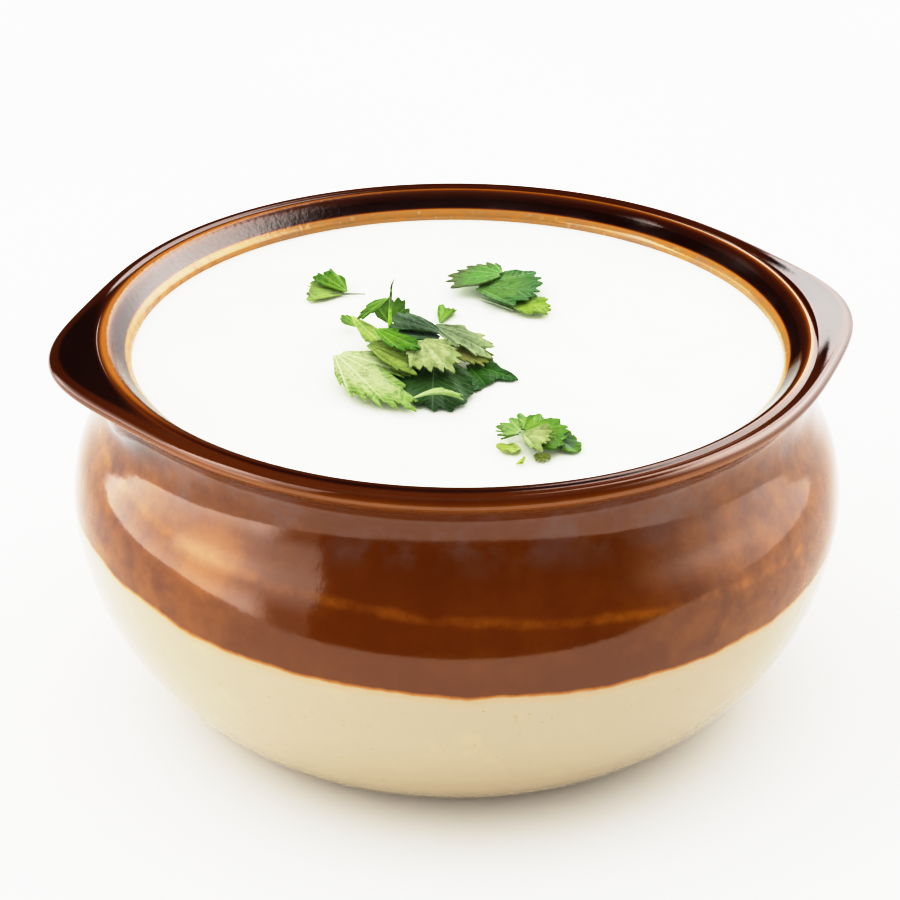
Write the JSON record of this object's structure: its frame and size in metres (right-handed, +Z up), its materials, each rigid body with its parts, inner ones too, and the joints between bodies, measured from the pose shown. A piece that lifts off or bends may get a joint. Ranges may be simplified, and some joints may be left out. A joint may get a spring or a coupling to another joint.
{
  "type": "bowl of raita",
  "caption": "Round two-tone glazed stoneware bowl with small pointed ears, filled with smooth white raita and topped with loose coriander leaves.",
  "frame": {"origin": "on the surface the bowl stands on, under the middle of its outline", "axes": "+Z up; +X towards the smaller ear, turned 7.5 degrees from it; the other ear points to -X"},
  "size_m": [0.1228, 0.1204, 0.0679],
  "materials": {
    "glazed_stoneware": "glossy brown glaze above, glossy ivory glaze below",
    "yoghurt": "smooth and wet",
    "coriander": "fresh leaf, satin"
  },
  "bodies": {
    "root": {"bowl": "glazed_stoneware", "raita": "yoghurt", "leaf_back_dark": "coriander", "leaf_back_frond": "coriander", "leaf_back_right": "coriander", "leaf_back_sliver": "coriander", "leaf_back_yellow": "coriander", "leaf_behind_stalk": "coriander", "leaf_blue_green": "coriander", "leaf_bright": "coriander", "leaf_crumpled": "coriander", "leaf_folded": "coriander", "leaf_front_curl": "coriander", "leaf_front_dark": "coriander", "leaf_front_light": "coriander", "leaf_left_dark": "coriander", "leaf_left_light": "coriander", "leaf_left_thread": "coriander", "leaf_middle": "coriander", "leaf_near_crumb": "coriander", "leaf_near_frond": "coriander", "leaf_near_pale": "coriander", "leaf_near_point": "coriander", "leaf_near_tip": "coriander", "leaf_near_top": "coriander", "leaf_near_yellow": "coriander", "leaf_right_dark": "coriander", "leaf_spotted": "coriander", "leaf_square": "coriander", "leaf_stemmed": "coriander", "leaf_under_stem": "coriander", "leaf_yellowish": "coriander", "stalk": "coriander"}
  },
  "joints": []
}
